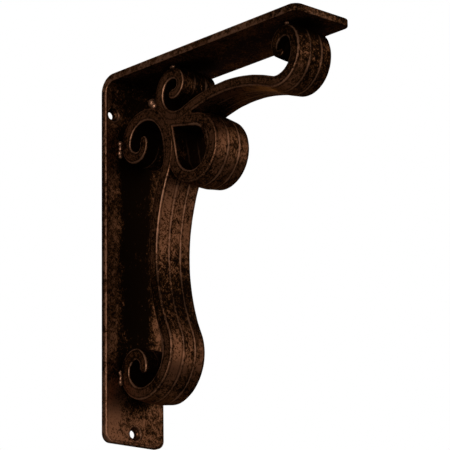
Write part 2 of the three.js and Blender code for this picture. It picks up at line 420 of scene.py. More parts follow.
def loop_line():
    """The loop's middle line, from its point round the lobe and back, and half the angle
    of its point in degrees."""
    low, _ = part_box("centre_loop")
    radius = LOOP_INNER_RADIUS + LOOP_THICKNESS / 2
    reach = LOOP_INNER_RADIUS + LOOP_THICKNESS + BAND_RISE
    centre_y = low.y / MM + reach
    centre_z = low.z / MM + reach
    point_distance = LOOP_CORNER_DISTANCE * radius / LOOP_INNER_RADIUS
    straight = math.sqrt(point_distance ** 2 - radius ** 2)
    half_corner = math.degrees(math.asin(radius / point_distance))
    slope = math.radians(LOOP_SLOPE)
    start = (centre_y + point_distance * math.cos(slope),
             centre_z + point_distance * math.sin(slope))
    bends = [(straight, 0), (radius, 180 + 2 * half_corner), (straight, 0)]
    return bend_line(bends, 180 + LOOP_SLOPE - half_corner, start), half_corner


def make_loop(line, half_corner, cutters):
    """The loop: its two ends are cut to a mitre and joined in the point."""
    mitre_gap = 0.02
    run = line[-1, 3]
    spare = LOOP_THICKNESS * 2
    piece = bevelled_bar("loop_bar", -spare, run + spare, LOOP_THICKNESS, SCROLL_WIDTH)
    corner = math.radians(half_corner)
    set_mode("EDIT")
    cut((0, 0, 0), (-math.sin(corner), math.cos(corner), 0), clear=True)
    cut((run, 0, 0), (math.sin(corner), math.cos(corner), 0), clear=True)
    set_mode("OBJECT")
    front = np.interp(math.radians(LOOP_SWELL_HEADING), line[:, 2], line[:, 3])
    swell(piece, front, LOOP_SWELL_LENGTH, LOOP_SWELL, 1, LOOP_THICKNESS)
    bend_along(piece, line)
    shift_across(piece)
    set_mode("EDIT")
    bpy.ops.mesh.select_all(action="SELECT")
    bpy.ops.mesh.remove_doubles(threshold=mitre_gap * MM)
    bpy.ops.mesh.normals_make_consistent(inside=False)
    set_mode("OBJECT")
    make_uneven(piece)
    for cutter in cutters:
        carve(piece, cutter)
    return piece


# The flat bar, punched and countersunk flat and then bent

def screw_holes():
    """Where the screw holes are on the straight flat bar: run and across, in millimetres."""
    low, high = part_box("back_bar")
    top_run = (high.z - low.z) / MM - TOP_HOLES_BELOW_TOP
    return [(BOTTOM_HOLE_ABOVE_END, 0.0),
            (top_run, -TOP_HOLES_SPACING / 2), (top_run, TOP_HOLES_SPACING / 2)]


def screw_hole_cutter(run, across):
    """What a screw hole takes out of the straight flat bar, countersunk from its front."""
    radius = HOLE_DIAMETER / 2 * MM
    shank_end = (FLAT_THICKNESS / 2 - COUNTERSINK_DEPTH) * MM
    depth = shank_end + FLAT_THICKNESS * MM
    deselect_everything()
    bpy.ops.mesh.primitive_cylinder_add(
        vertices=48, radius=radius, depth=depth,
        location=(run * MM, shank_end - depth / 2, across * MM), rotation=(math.pi / 2, 0, 0))
    cutter = bpy.context.object
    settle_placing()
    set_mode("EDIT")
    pick("FACE", lambda f: f.normal.y > 0.9)
    slope = (COUNTERSINK_DIAMETER / 2 * MM - radius) / (COUNTERSINK_DEPTH * MM)
    rise = 2 * COUNTERSINK_DEPTH * MM
    bpy.ops.mesh.extrude_region_move(TRANSFORM_OT_translate={"value": (0, rise, 0)})
    wide = (radius + slope * rise) / radius
    bpy.ops.transform.resize(
        value=(wide, 1, wide), center_override=(run * MM, shank_end + rise, across * MM))
    set_mode("OBJECT")
    return cutter


def make_flat_bar():
    """The flat bar, and its middle line."""
    outline_depth = 0.1
    low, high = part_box("back_bar")
    width = (high.x - low.x) / MM
    half_width = width / 2
    half_thickness = FLAT_THICKNESS / 2
    wall_run = (high.z - low.z) / MM - FLAT_BEND_RADIUS
    shelf_run = -low.y / MM - FLAT_BEND_RADIUS
    bends = [(wall_run, 0), (FLAT_BEND_RADIUS - half_thickness, 90), (shelf_run, 0)]
    line = bend_line(bends, 90, (-half_thickness, low.z / MM))
    length = line[-1, 3]
    piece = new_block("bent_flat_bar", (0, -half_thickness, -half_width),
                      (length, half_thickness, half_width))
    pick("EDGE", lambda e: abs(e.verts[0].co.y - e.verts[1].co.y) > half_thickness * MM)
    bpy.ops.mesh.bevel(offset=FLAT_CORNER_RADIUS * MM, segments=8, affect="EDGES")
    set_mode("OBJECT")
    holes = screw_holes()
    for run, across in holes:
        cutter = screw_hole_cutter(run, across)
        carve(piece, cutter)
        discard(cutter)

    def near_hole(edge):
        middle = (edge.verts[0].co + edge.verts[1].co) / 2 / MM
        on_outline = abs(middle.z) >= half_width - outline_depth or middle.x <= outline_depth
        return not on_outline and any(
            math.hypot(middle.x - run, middle.z - across) < COUNTERSINK_DIAMETER
            for run, across in holes)

    sharp = math.radians(20)
    set_mode("EDIT")
    pick("EDGE", lambda e: e.calc_face_angle(0) > sharp and not near_hole(e))
    bpy.ops.mesh.bevel(offset=FLAT_ARRIS * MM, segments=3, affect="EDGES")
    pick("EDGE", lambda e: e.calc_face_angle(0) > sharp and near_hole(e))
    bpy.ops.mesh.bevel(offset=HOLE_ARRIS * MM, segments=2, affect="EDGES")
    bend_start = wall_run
    bend_end = length - shelf_run
    bend_grid = FLAT_GRID / 2
    places = [
        *cuts_between(FLAT_ARRIS, bend_start, FLAT_GRID), bend_start,
        *cuts_between(bend_start, bend_end, bend_grid), bend_end,
        *cuts_between(bend_end, length - FLAT_ARRIS, FLAT_GRID),
    ]
    for x in places:
        cut((x, 0, 0), (1, 0, 0))
    edge = half_width - FLAT_ARRIS
    for z in cuts_between(-edge, edge, FLAT_GRID):
        cut((0, 0, z), (0, 0, 1))
    set_mode("OBJECT")
    bend_along(piece, line)
    return piece, line


# Weld beads

def weld_bead(name, drops, roundness=4):
    """Drops of weld metal that have run together. Each drop is a place and a size, in
    millimetres."""
    voxel = 0.22 * MM
    deselect_everything()
    made = []
    for place, size in drops:
        bpy.ops.mesh.primitive_ico_sphere_add(
            subdivisions=roundness, radius=0.5, location=Vector(place) * MM)
        drop = bpy.context.object
        drop.scale = Vector(size) * MM
        made.append(drop)
    for drop in made:
        drop.select_set(True)
    bpy.context.view_layer.objects.active = made[0]
    if len(made) > 1:
        bpy.ops.object.join()
    bead = bpy.context.object
    bead.name = name
    settle_placing()
    apply_modifier(bead, "REMESH", mode="VOXEL", voxel_size=voxel)
    apply_modifier(bead, "SMOOTH", factor=0.6, iterations=6)
    return bead


lower_line = fitted_line(LOWER_BENDS, LOWER_TIP_HEADING, "lower_scroll", LOWER_THICKNESS, 1,
                         LOWER_START_HOOK, LOWER_END_HOOK)
upper_line = fitted_line(UPPER_BENDS, UPPER_TIP_HEADING, "upper_scroll", UPPER_THICKNESS, 0,
                         UPPER_START_HOOK, UPPER_END_HOOK)
round_line, half_corner = loop_line()

lower_cutter = make_scroll_cutter(lower_line, LOWER_THICKNESS)
upper_cutter = make_scroll_cutter(upper_line, UPPER_THICKNESS)
lower_bar = make_scroll("lower_scroll_bar", lower_line, LOWER_THICKNESS, LOWER_TIP_SHARES,
                        LOWER_SWELLINGS)
upper_bar = make_scroll("upper_scroll_bar", upper_line, UPPER_THICKNESS, UPPER_TIP_SHARES)
carve(upper_bar, lower_cutter)
loop_bar = make_loop(round_line, half_corner, [lower_cutter, upper_cutter])
discard(lower_cutter, upper_cutter)
flat_bar, flat_line = make_flat_bar()

near_side = scroll_low.x / MM
far_side = scroll_high.x / MM
wall_front = -FLAT_THICKNESS
shelf_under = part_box("back_bar")[1].z / MM - FLAT_THICKNESS

WELDS = {
    "weld_wall_top": [
        ((near_side + 0.6, wall_front - 0.9, 80.2), (3.2, 3.4, 4.0)),
        ((near_side + 0.8, wall_front - 0.8, 76.8), (2.4, 2.6, 3.6)),
        ((near_side + 0.5, wall_front - 0.9, 73.4), (3.4, 3.4, 4.4)),
        ((near_side + 1.2, wall_front - 0.6, 71.2), (3.0, 2.8, 3.0)),
    ],
    "weld_wall_foot": [
        ((near_side + 0.6, wall_front - 0.8, -80.0), (3.2, 2.8, 4.2)),
        ((near_side + 0.9, wall_front - 0.7, -83.4), (2.6, 2.4, 3.4)),
        ((near_side + 0.6, wall_front - 1.1, -86.4), (3.4, 3.2, 4.4)),
    ],
    "weld_corner": [
        ((near_side + 1.6, -38.0, 101.6), (5.2, 5.6, 6.0)),
        ((near_side + 2.0, -39.6, 99.0), (4.0, 5.0, 5.0)),
    ],
    "weld_shelf_back": [
        ((near_side + 0.6, -60.8, shelf_under - 0.8), (2.6, 3.6, 2.6)),
        ((near_side + 1.0, -58.4, shelf_under - 0.5), (2.2, 2.6, 1.8)),
    ],
    "weld_shelf_front": [
        ((near_side + 0.6, -170.2, shelf_under - 0.9), (2.6, 3.4, 2.6)),
    ],
}

SPATTER = [
    ((-4.0, -8.0, 120.8), 0.9), ((-1.5, -26.9, shelf_under), 0.8),
    ((6.4, wall_front, -30.6), 0.7), ((9.1, wall_front, -33.0), 0.6),
    ((-19.0, wall_front, 77.0), 0.7), ((-9.0, -14.0, shelf_under), 0.6),
    ((-17.5, wall_front, 64.0), 0.6),
]


def seam_drops(bars):
    """Drops that fill the seams between bars flush with their side faces."""
    touching = 0.9 * MM
    spacing = 0.8
    size = (1.5, 1.9, 1.9)
    trees = [tree_of([bar]) for bar in bars]
    drops = []
    for side, inward in ((near_side, 1), (far_side, -1)):
        taken = []
        for bar in bars:
            others = [tree for tree, other in zip(trees, bars) if other is not bar]
            for vertex in bar.data.vertices:
                if abs(vertex.co.x / MM - side) > SIDE_ARRIS:
                    continue
                if not any(tree.find_nearest(vertex.co, touching)[0] for tree in others):
                    continue
                y, z = vertex.co.y / MM, vertex.co.z / MM
                if all((y - u) ** 2 + (z - v) ** 2 > spacing ** 2 for u, v in taken):
                    taken.append((y, z))
        drops += [((side + inward * size[0] / 2, y, z), size) for y, z in taken]
    return drops


def tree_of(pieces):
    """What rays and nearest places are looked for on, for some pieces at once."""
    corners = []
    faces = []
    for piece in pieces:
        base = len(corners)
        corners += [v.co.copy() for v in piece.data.vertices]
        faces += [[base + v for v in face.vertices] for face in piece.data.polygons]
    return BVHTree.FromPolygons(corners, faces)


welds = [weld_bead(name, drops) for name, drops in WELDS.items()]
spatter = weld_bead("weld_spatter", [(place, (size, size, size)) for place, size in SPATTER], 3)
seams = weld_bead("weld_seams", seam_drops([lower_bar, upper_bar, loop_bar]), 2)


# What each piece's surface knows about itself, for its finish and for the light and shade painted
# into it

# A place with no arris near it counts as this far from one, in millimetres
FAR_OFF = 100.0


def corners_of(piece):
    """The piece's vertices, in millimetres."""
    places = np.empty(len(piece.data.vertices) * 3)
    piece.data.vertices.foreach_get("co", places)
    return places.reshape(-1, 3) / MM


def write_marks(piece, name, values):
    """Keeps a value for each vertex: a number, or three."""
    kind, key = ("FLOAT_VECTOR", "vector") if values.ndim == 2 else ("FLOAT", "value")
    marks = piece.data.attributes.new(name, kind, "POINT")
    marks.data.foreach_set(key, np.ascontiguousarray(values, np.float32).ravel())


def unbend(places, line, offset):
    """Where places would be on the straight bar: run, lift and across, in millimetres."""
    tangents = np.stack([np.cos(line[:, 2]), np.sin(line[:, 2])], 1)
    run = np.empty(len(places))
    lift = np.empty(len(places))
    batch = 4000
    for first in range(0, len(places), batch):
        part = places[first:first + batch, 1:]
        gaps = part[:, None, :] - line[None, :, :2]
        nearest = (gaps ** 2).sum(2).argmin(1)
        gap = part - line[nearest, :2]
        along = tangents[nearest]
        run[first:first + batch] = line[nearest, 3] + (gap * along).sum(1)
        lift[first:first + batch] = along[:, 0] * gap[:, 1] - along[:, 1] * gap[:, 0]
    return np.stack([run, lift, places[:, 0] - offset], 1)


def mark_bevelled(piece, line, thickness, tip_shares, inner_side, wear_and_painted_light, facet_light_and_shade, speckle,
                  keen_inner, keen_outer):
    """Marks how a bar lies, how far each place is from its arrises, how far its finish is
    rubbed back there with painted light and shade added, how keen its arrises are and how
    speckled its sides. The last five are lists of pairs, a share of the bar's run and an
    amount, and the facet list is for the near facet of its outer face alone: painted light
    on that facet, and on the lower scroll the loop's painted shadow. The inner side is the
    one the curls turn towards."""
    inner_wear = -0.5
    near_ridge = 0.6
    far_ridge = 0.9
    lay = unbend(corners_of(piece), line, SCROLL_OFFSET)
    share = lay[:, 0] / line[-1, 3]
    half_width = SCROLL_WIDTH / 2
    across = np.abs(lay[:, 2])
    slope = BAND_RISE / (half_width - BAND_WIDTH / 2)
    face = thickness / 2 + np.minimum(BAND_RISE, slope * (half_width - across))
    if tip_shares:
        tip_runs = (TIP_LENGTH, TIP_TAPER, line[-1, 3] - TIP_TAPER, line[-1, 3] - TIP_LENGTH)
        face *= np.interp(lay[:, 0], tip_runs, (tip_shares[0], 1, 1, tip_shares[1]))
    inset = np.maximum(half_width - across, 0)
    depth = np.abs(face - np.abs(lay[:, 1]))
    ridge = np.abs(across - BAND_WIDTH / 2)
    inner = lay[:, 1] * inner_side > 0
    side = inset < SIDE_ARRIS
    facet = (lay[:, 2] < -BAND_WIDTH / 2) & ~side & ~inner
    corner_keen = np.where(inner, np.interp(share, *zip(*keen_inner)),
                           np.interp(share, *zip(*keen_outer)))
    ridge_keen = np.where(lay[:, 2] < 0, near_ridge, far_ridge)
    write_marks(piece, "lay", lay * MM)
    write_marks(piece, "arris", np.stack([inset, depth, ridge], 1) * MM)
    # Wear along the run and darker inner faces, plus painted light on the near facet of the outer
    # face and, on the lower scroll, the loop's painted shadow
    write_marks(piece, "wear_and_painted_light", np.interp(share, *zip(*wear_and_painted_light)) + inner_wear * (inner & ~side)
                + np.interp(share, *zip(*facet_light_and_shade)) * facet)
    write_marks(piece, "keen", np.stack([corner_keen, ridge_keen,
                                         np.interp(share, *zip(*speckle)) * side], 1))


def mark_flat(piece, line):
    """Marks the flat bar in the same way. Its arrises run round its outline and its holes."""
    keenness = 0.7
    lay = unbend(corners_of(piece), line, 0.0)
    length = line[-1, 3]
    half_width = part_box("back_bar")[1].x / MM
    along = length / 2 - np.abs(lay[:, 0] - length / 2)
    beside = half_width - np.abs(lay[:, 2])
    corner = np.hypot(FLAT_CORNER_RADIUS - np.minimum(along, FLAT_CORNER_RADIUS),
                      FLAT_CORNER_RADIUS - np.minimum(beside, FLAT_CORNER_RADIUS))
    inset = np.where(corner > 0, FLAT_CORNER_RADIUS - corner, np.minimum(along, beside))
    depth = np.maximum(FLAT_THICKNESS / 2 - np.abs(lay[:, 1]), 0)
    ridge = np.full(len(lay), FAR_OFF)
    for run, across in screw_holes():
        out = np.hypot(lay[:, 0] - run, lay[:, 2] - across) - COUNTERSINK_DIAMETER / 2
        ridge = np.minimum(ridge, np.abs(out))
    write_marks(piece, "lay", lay * MM)
    write_marks(piece, "arris", np.stack([np.maximum(inset, 0), depth, ridge], 1) * MM)
    # The flat bar's wear, with the painted shadow of the scrolls on the wall leg
    write_marks(piece, "wear_and_painted_light", flat_wear_and_scroll_shadow(lay, length, inset, depth))
    keen = np.full(len(lay), keenness)
    write_marks(piece, "keen", np.stack([keen, keen, keen * 0], 1))


def flat_wear_and_scroll_shadow(lay, length, inset, depth):
    """How far the flat bar's finish is rubbed back: little on its narrow sides, and most at its
    foot and in the corner of its bend. Behind the scrolls on the wall leg it is darkened by a
    painted shadow of the scrolls. Runs are measured from the foot, and a fade is the stretch
    over which a change comes in."""
    bend_run = 243.0
    front_length = 30.0
    front_fade = 12.0
    front_loss = 0.3
    scroll_shadow_margin = 2.0
    scroll_shadow_side_fade = 4.5
    scroll_shadow_foot = 62.0
    scroll_shadow_foot_fade = 22.0
    scroll_shadow_front_fade = 18.0
    scroll_shadow_depth = 0.75
    near_bend_run = 185.0
    near_bend_fade = 30.0
    near_bend_relief = 0.6
    strip_end = 190.0
    strip_wear = 0.22
    strip_slope = 0.005
    strip_wear_past_end = 0.05
    foot_end = 46.0
    foot_fade = 14.0
    foot_wear = 0.22
    foot_slope = 0.011
    foot_far_start = 5.0
    foot_far_slope = 0.012
    spot_across = -17.0
    spot_length = 9.0
    spot_width = 7.0
    spot_wear = 0.2
    narrow_inset = 0.05
    narrow_loss = 0.85
    narrow_loss_on_shelf = 0.05
    corner_run = 200.0
    corner_fade = 15.0
    corner_wear = 0.3
    corner_loss_on_shelf = 0.1

    def fade(gap, stretch):
        return np.clip(gap / stretch, 0, 1)

    run, lift, across = lay.T
    inside = lift > 0
    shelf = run > bend_run
    scroll_shadow_half = SCROLL_WIDTH / 2 - scroll_shadow_margin
    beside = fade(scroll_shadow_half + scroll_shadow_side_fade - np.abs(across - SCROLL_OFFSET),
                  2 * scroll_shadow_side_fade)
    past_foot = fade(run - scroll_shadow_foot, scroll_shadow_foot_fade)
    past_front = fade(length - front_length - run, scroll_shadow_front_fade)
    near_bend = fade(run - near_bend_run, near_bend_fade) * near_bend_relief
    # Painted shadow of the scrolls: a dark band on the wall leg behind them, soft at its sides and
    # fading out at the foot and towards the bend. The strips beside it are rubbed brighter.
    painted_scroll_shadow = beside * past_foot * past_front * inside * np.where(
        shelf, 0.0, scroll_shadow_depth - near_bend)
    strips = (1 - beside) * inside * ~shelf * np.where(
        run < strip_end, strip_wear + strip_slope * across, strip_wear_past_end)
    foot = fade(foot_end - run, foot_fade) * (
        foot_wear - foot_slope * across - foot_far_slope * np.maximum(across - foot_far_start, 0))
    spot = np.exp(-((run - bend_run) / spot_length) ** 2
                  - ((across - spot_across) / spot_width) ** 2) * inside
    narrow = (inset < narrow_inset) * (depth > FLAT_ARRIS) * np.where(
        shelf, narrow_loss_on_shelf, narrow_loss)
    front = fade(run - length + front_length, front_fade)
    corner = inside * (fade(run - corner_run, corner_fade) * corner_wear
                       - corner_loss_on_shelf * shelf)
    return foot + strips + corner + spot_wear * spot - painted_scroll_shadow - narrow - front_loss * front


def mark_plain(piece, wear_and_painted_light):
    """Marks for a piece without arrises."""
    places = corners_of(piece)
    write_marks(piece, "lay", places * MM)
    write_marks(piece, "arris", np.full_like(places, FAR_OFF) * MM)
    write_marks(piece, "wear_and_painted_light", np.full(len(places), wear_and_painted_light))
    write_marks(piece, "keen", np.zeros_like(places))


def mark_open(pieces):
    """Marks how open each place lies, from 0 in a closed corner to 1 in the open."""
    rays = 24
    reach = 55 * MM
    lift_off = 0.15 * MM
    smoothings = 3
    tree = tree_of(pieces)
    golden = math.pi * (3 - math.sqrt(5))
    spread = []
    for ray in range(rays):
        height = math.sqrt((ray + 0.5) / rays)
        flat = math.sqrt(1 - height * height)
        bearing = golden * ray
        spread.append(Vector((flat * math.cos(bearing), flat * math.sin(bearing), height)))
    for piece in pieces:
        mesh = piece.data
        opens = np.empty(len(mesh.vertices))
        for vertex in mesh.vertices:
            turn = Vector((0, 0, 1)).rotation_difference(vertex.normal).to_matrix()
            start = vertex.co + vertex.normal * lift_off
            clear = sum(tree.ray_cast(start, turn @ ray, reach)[0] is None for ray in spread)
            opens[vertex.index] = clear / rays
        edges = np.array([edge.vertices[:] for edge in mesh.edges])
        for _ in range(smoothings):
            total = opens.copy()
            count = np.ones(len(opens))
            np.add.at(total, edges[:, 0], opens[edges[:, 1]])
            np.add.at(total, edges[:, 1], opens[edges[:, 0]])
            np.add.at(count, edges.ravel(), 1)
            opens = total / count
        write_marks(piece, "open", opens)


def mark_free(pieces):
    """Marks how far each place is from the other pieces, up to a few millimetres."""
    reach = 4.0 * MM
    for piece in pieces:
        others = tree_of([other for other in pieces if other is not piece])
        gaps = np.full(len(piece.data.vertices), reach)
        for vertex in piece.data.vertices:
            found = others.find_nearest(vertex.co, reach)
            if found[0] is not None:
                gaps[vertex.index] = found[3]
        write_marks(piece, "free", gaps)


# Node groups

def new_group(name, inputs, outputs):
    """A shader node group with its sockets: each is a name, a kind and, for an input, a value."""
    group = bpy.data.node_groups.new(name, "ShaderNodeTree")
    for socket_name, kind, value in inputs:
        socket = group.interface.new_socket(
            name=socket_name, in_out="INPUT", socket_type="NodeSocket" + kind)
        if value is not None:
            socket.default_value = value
    for socket_name, kind in outputs:
        group.interface.new_socket(
            name=socket_name, in_out="OUTPUT", socket_type="NodeSocket" + kind)
    sources = group.nodes.new("NodeGroupInput")
    results = group.nodes.new("NodeGroupOutput")
    return group, sources.outputs, results.inputs


def node(tree, kind, inputs=(), **settings):
    """Adds a node, with settings on it and values or links on its inputs."""
    made = tree.nodes.new("ShaderNode" + kind)
    for key, value in settings.items():
        setattr(made, key, value)
    for key, value in dict(inputs).items():
        if isinstance(value, bpy.types.NodeSocket):
            tree.links.new(value, made.inputs[key])
        else:
            made.inputs[key].default_value = value
    return made


def use_group(tree, group, inputs):
    return node(tree, "Group", inputs, node_tree=group).outputs


def maths(tree, operation, first, second=0.0, third=0.0, clamp=False):
    return node(tree, "Math", {0: first, 1: second, 2: third},
                operation=operation, use_clamp=clamp).outputs[0]


def ramp(tree, value, low, high, start=0.0, end=1.0):
    """Smooth steps from start to end as value goes from low to high."""
    made = node(tree, "MapRange", {"Value": value, "From Min": low, "From Max": high,
                                   "To Min": start, "To Max": end},
                interpolation_type="SMOOTHSTEP")
    return made.outputs["Result"]


def noise(tree, vector, scale, detail=4.0, roughness=0.55, distortion=0.0):
    """Noise with features of about one over scale, in metres."""
    return node(tree, "TexNoise", {"Vector": vector, "Scale": scale, "Detail": detail,
                                   "Roughness": roughness, "Distortion": distortion}).outputs["Fac"]


def stretched(tree, vector, stretch):
    return node(tree, "VectorMath", {0: vector, 1: stretch}, operation="MULTIPLY").outputs[0]


def make_arris_group():
    """Masks along the arrises, broken up as rubbing leaves them, and the dark beside them."""
    group, source, result = new_group(
        "arris_rub",
        [("Arris", "Vector", None), ("Place", "Vector", None),
         ("Corner width", "Float", 0.9), ("Ridge width", "Float", 0.5), ("Breaks", "Float", 0.5)],
        [("Corner", "Float"), ("Ridge", "Float"), ("Beside", "Float")])
    parts = node(group, "SeparateXYZ", {0: source["Arris"]}).outputs
    inset, depth, ridge = [maths(group, "MULTIPLY", part, 1 / MM) for part in parts]
    squared = maths(group, "ADD", maths(group, "POWER", inset, 2), maths(group, "POWER", depth, 2))
    corner = maths(group, "SQRT", squared)
    fine = noise(group, source["Place"], 420.0, detail=3.0, roughness=0.65)
    coarse = noise(group, source["Place"], 70.0, detail=2.0)
    wander = maths(group, "ADD", maths(group, "SUBTRACT", fine, 0.5),
                   maths(group, "SUBTRACT", coarse, 0.5))
    shift = maths(group, "MULTIPLY", wander, maths(group, "MULTIPLY", source["Breaks"], 6.0))
    beside = []
    for name, gap, width in (("Corner", corner, source["Corner width"]),
                             ("Ridge", ridge, source["Ridge width"])):
        share = maths(group, "DIVIDE", gap, width)
        group.links.new(ramp(group, maths(group, "ADD", share, shift), 0.4, 1.2, 1.0, 0.0),
                        result[name])
        out = maths(group, "ABSOLUTE", maths(group, "SUBTRACT", share, 1.9))
        beside.append(ramp(group, out, 0.25, 0.85, 1.0, 0.0))
    group.links.new(maths(group, "MAXIMUM", *beside), result["Beside"])
    return group


def make_mottle_group():
    """Where the finish is rubbed back: broad patches, mottling, strokes and specks."""
    group, source, result = new_group(
        "patina_mottle",
        [("Place", "Vector", None), ("Lay", "Vector", None), ("Open", "Float", 1.0),
         ("Amount", "Float", 0.5), ("Contrast", "Float", 1.0)],
        [("Rubbed", "Float"), ("Speck", "Float")])
    broad = noise(group, source["Place"], 60.0, detail=2.0)
    mottling = noise(group, source["Place"], 300.0, detail=4.0, roughness=0.75, distortion=0.4)
    fine = noise(group, source["Place"], 950.0, detail=2.0, roughness=0.6)
    level = 0.0
    for field, share in ((broad, 1.1), (mottling, 2.3), (fine, 1.6)):
        lowered = maths(group, "SUBTRACT", level, share / 2)
        level = maths(group, "MULTIPLY_ADD", field, share, lowered)
    swirl = node(group, "TexNoise", {"Vector": source["Place"], "Scale": 90.0, "Detail": 1.0})
    drift = node(group, "VectorMath", {0: swirl.outputs["Color"], "Scale": 6 * MM},
                 operation="SCALE")
    drifted = node(group, "VectorMath", {0: source["Lay"], 1: drift.outputs[0]}, operation="ADD")
    for angle in (-38.0, 32.0):
        turned = node(group, "VectorRotate", {"Vector": drifted.outputs[0],
                                              "Angle": math.radians(angle)}, rotation_type="Y_AXIS")
        strokes = noise(group, stretched(group, turned.outputs[0], (190.0, 1300.0, 1300.0)), 1.0,
                        detail=2.0, roughness=0.6)
        level = maths(group, "ADD", level, ramp(group, strokes, 0.52, 0.68, -0.05, 0.3))
    level = maths(group, "MULTIPLY", level, source["Contrast"])
    # Closed places are kept dark: patina left in the hollows, and painted shade there as well
    closed = ramp(group, source["Open"], 0.3, 0.82, -0.8, 0.0)
    level = maths(group, "ADD", level, maths(group, "ADD", source["Amount"], closed))
    group.links.new(maths(group, "ADD", level, 0.0, clamp=True), result["Rubbed"])
    group.links.new(ramp(group, fine, 0.33, 0.44, 1.0, 0.0), result["Speck"])
    return group


def make_grain_group():
    """The height of the iron's skin: scale, hammering and fine pits."""
    group, source, result = new_group(
        "iron_skin", [("Place", "Vector", None)], [("Height", "Float")])
    scale = noise(group, source["Place"], 230.0, detail=4.0, roughness=0.6)
    fine = noise(group, source["Place"], 1100.0, detail=2.0)
    height = maths(group, "MULTIPLY_ADD", scale, 0.7, maths(group, "MULTIPLY", fine, 0.3))
    group.links.new(height, result["Height"])
    return group


arris_group = make_arris_group()
mottle_group = make_mottle_group()
grain_group = make_grain_group()

# The colours of the patina, linear
BASE_COAT = (0.0055, 0.0022, 0.0006, 1.0)
BROWN_COAT = (0.066, 0.0255, 0.0092, 1.0)
COPPER_RUB = (0.22, 0.088, 0.042, 1.0)
BRIGHT_RUB = (0.44, 0.205, 0.115, 1.0)


def mixed(tree, share, first, second):
    """A colour between two: each is a socket or a linear colour."""
    return node(tree, "Mix", {"Factor": share, 6: first, 7: second}, data_type="RGBA").outputs[2]


def new_material(name):
    """A material, its node tree and its shader."""
    material = bpy.data.materials.new(name)
    material.use_nodes = True
    return material, material.node_tree, material.node_tree.nodes["Principled BSDF"]


def mark_of(tree, name, output="Fac"):
    """What a piece's surface keeps under a name."""
    return node(tree, "Attribute", attribute_name=name).outputs[output]


def roughen(tree, shader, place, strength, depth):
    """Gives a finish the height of the iron's skin, to a depth in millimetres."""
    skin = use_group(tree, grain_group, {"Place": place})
    bump = node(tree, "Bump", {"Height": skin["Height"], "Strength": strength,
                               "Distance": depth * MM})
    tree.links.new(bump.outputs["Normal"], shader.inputs["Normal"])


def make_finish(name, amount, contrast, corner_width, ridge_width, breaks, corner_share,
                ridge_share):
    """The patina: dark in the hollows, as patina left there and as painted shade, copper where
    it is rubbed, bright on the arrises, with painted light and shadow carried in by the marks.
    """
    speck_share = 0.35
    beside_share = 0.6
    material, tree, shader = new_material(name)
    place = node(tree, "TexCoord").outputs["Object"]
    lay = mark_of(tree, "lay", "Vector")
    openness = mark_of(tree, "open")
    # Wear together with the painted light and shadow that the marks carry
    wear_and_painted_light = mark_of(tree, "wear_and_painted_light")
    keenness = node(tree, "SeparateXYZ", {0: mark_of(tree, "keen", "Vector")}).outputs
    rub = use_group(tree, arris_group, {
        "Arris": mark_of(tree, "arris", "Vector"), "Place": place, "Corner width": corner_width,
        "Ridge width": ridge_width, "Breaks": breaks})
    mottle = use_group(tree, mottle_group, {
        "Place": place, "Lay": lay, "Open": openness,
        "Contrast": maths(tree, "ADD", keenness[2], contrast),
        "Amount": maths(tree, "ADD", wear_and_painted_light, amount)})
    # Arrises stay dull in closed places, as patina and as painted shade, and along the seams
    # between pieces
    rub_reach_and_shade = maths(tree, "MULTIPLY", ramp(tree, openness, 0.25, 0.7),
                    ramp(tree, mark_of(tree, "free"), 0.5 * MM, 2.2 * MM))
    worn_and_shaded = maths(tree, "MULTIPLY", rub_reach_and_shade, ramp(tree, wear_and_painted_light, -0.6, 0.1, 0.15, 1.0))
    corner_keen = maths(tree, "MULTIPLY", keenness[0], corner_share)
    ridge_keen = maths(tree, "MULTIPLY", keenness[1], ridge_share)
    corner = maths(tree, "MULTIPLY", rub["Corner"], corner_keen)
    ridge = maths(tree, "MULTIPLY", rub["Ridge"], ridge_keen)
    edges = maths(tree, "MULTIPLY", maths(tree, "MAXIMUM", corner, ridge), worn_and_shaded)
    # The rubbed level also carries painted light and shade, from the marks and the closed places
    rubbed = mottle["Rubbed"]
    brown = mixed(tree, ramp(tree, rubbed, 0.0, 0.5), BASE_COAT, BROWN_COAT)
    copper = mixed(tree, ramp(tree, rubbed, 0.42, 0.95), brown, COPPER_RUB)
    specks = maths(tree, "MULTIPLY", mottle["Speck"], speck_share)
    beside = maths(tree, "MULTIPLY", rub["Beside"], beside_share)
    specked = mixed(tree, maths(tree, "MAXIMUM", specks, beside), copper, BASE_COAT)
    colour = mixed(tree, edges, specked, BRIGHT_RUB)
    tree.links.new(colour, shader.inputs["Base Color"])
    shine = maths(tree, "MAXIMUM", rubbed, edges)
    tree.links.new(ramp(tree, shine, 0.0, 1.0, 0.6, 0.42), shader.inputs["Roughness"])
    tree.links.new(ramp(tree, shine, 0.0, 0.8, 0.5, 0.9), shader.inputs["Metallic"])
    shader.inputs["Specular IOR Level"].default_value = 0.03
    shader.inputs["Specular Tint"].default_value = (0.75, 0.45, 0.25, 1)
    roughen(tree, shader, place, strength=0.5, depth=0.25)
    return material


# Both patinas carry painted shade in closed places; the flat bar's also the scrolls' painted
# shadow, the scrolls' the painted light on their near facet and the loop's painted shadow
flat_patina_and_shadow = make_finish("flat_bar_patina_and_shadow", amount=0.42, contrast=1.1, corner_width=0.75,
                          ridge_width=0.5, breaks=0.8, corner_share=0.8, ridge_share=0.5)
scroll_patina_and_light = make_finish("scroll_patina_and_painted_light", amount=0.48, contrast=1.25, corner_width=0.8,
                            ridge_width=0.7, breaks=0.5, corner_share=0.8, ridge_share=0.7)


